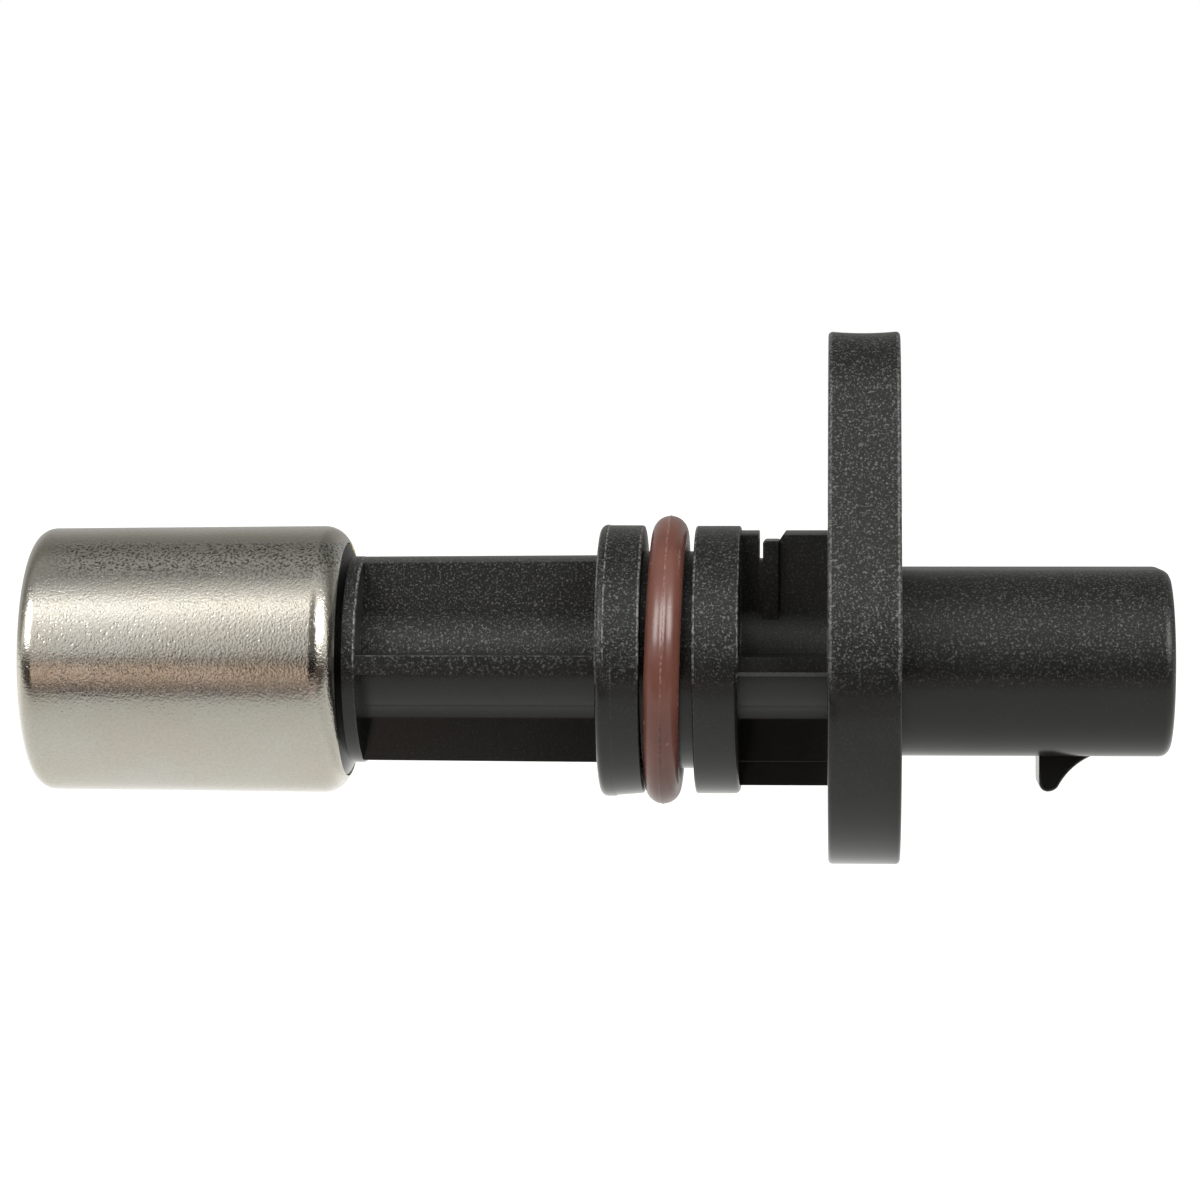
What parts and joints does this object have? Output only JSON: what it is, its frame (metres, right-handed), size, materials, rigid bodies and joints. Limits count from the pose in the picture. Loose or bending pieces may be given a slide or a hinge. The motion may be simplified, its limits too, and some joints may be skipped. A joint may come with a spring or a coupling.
{
  "type": "crankshaft position sensor",
  "caption": "Inductive crankshaft position sensor: steel-capped tip on a ribbed black plastic stem, sealing ring between collars, teardrop bolt flange and a round-ended socket for a two-blade plug.",
  "frame": {"origin": "on the sensor axis, in the plane of the flange face that seats on the engine block", "axes": "+X along the sensor axis towards the connector, +Z towards the bolt ear"},
  "size_m": [0.078, 0.0282, 0.0367],
  "materials": {
    "black_plastic": "fine spark texture with glass-fibre sparkle",
    "cap_steel": "satin drawn sheet with fine pits",
    "ring_rubber": "satin, reddish brown",
    "bushing_steel": "turned and plated",
    "terminal_brass": "tin plated",
    "seal_rubber": "satin",
    "bobbin_plastic": "natural nylon",
    "winding_copper": "enamelled copper wire",
    "coil_wrap": "polyimide tape",
    "pole_iron": "machined soft iron",
    "magnet_body": "ground sintered magnet"
  },
  "bodies": {
    "root": {"housing": "black_plastic", "steel_cap": "cap_steel", "o_ring": "ring_rubber", "flange_bushing": "bushing_steel", "terminal_left": "terminal_brass", "terminal_right": "terminal_brass", "cap_seal": "seal_rubber", "bobbin": "bobbin_plastic", "coil_winding": "winding_copper", "coil_tape": "coil_wrap", "pole_piece": "pole_iron", "magnet": "magnet_body"}
  },
  "joints": []
}
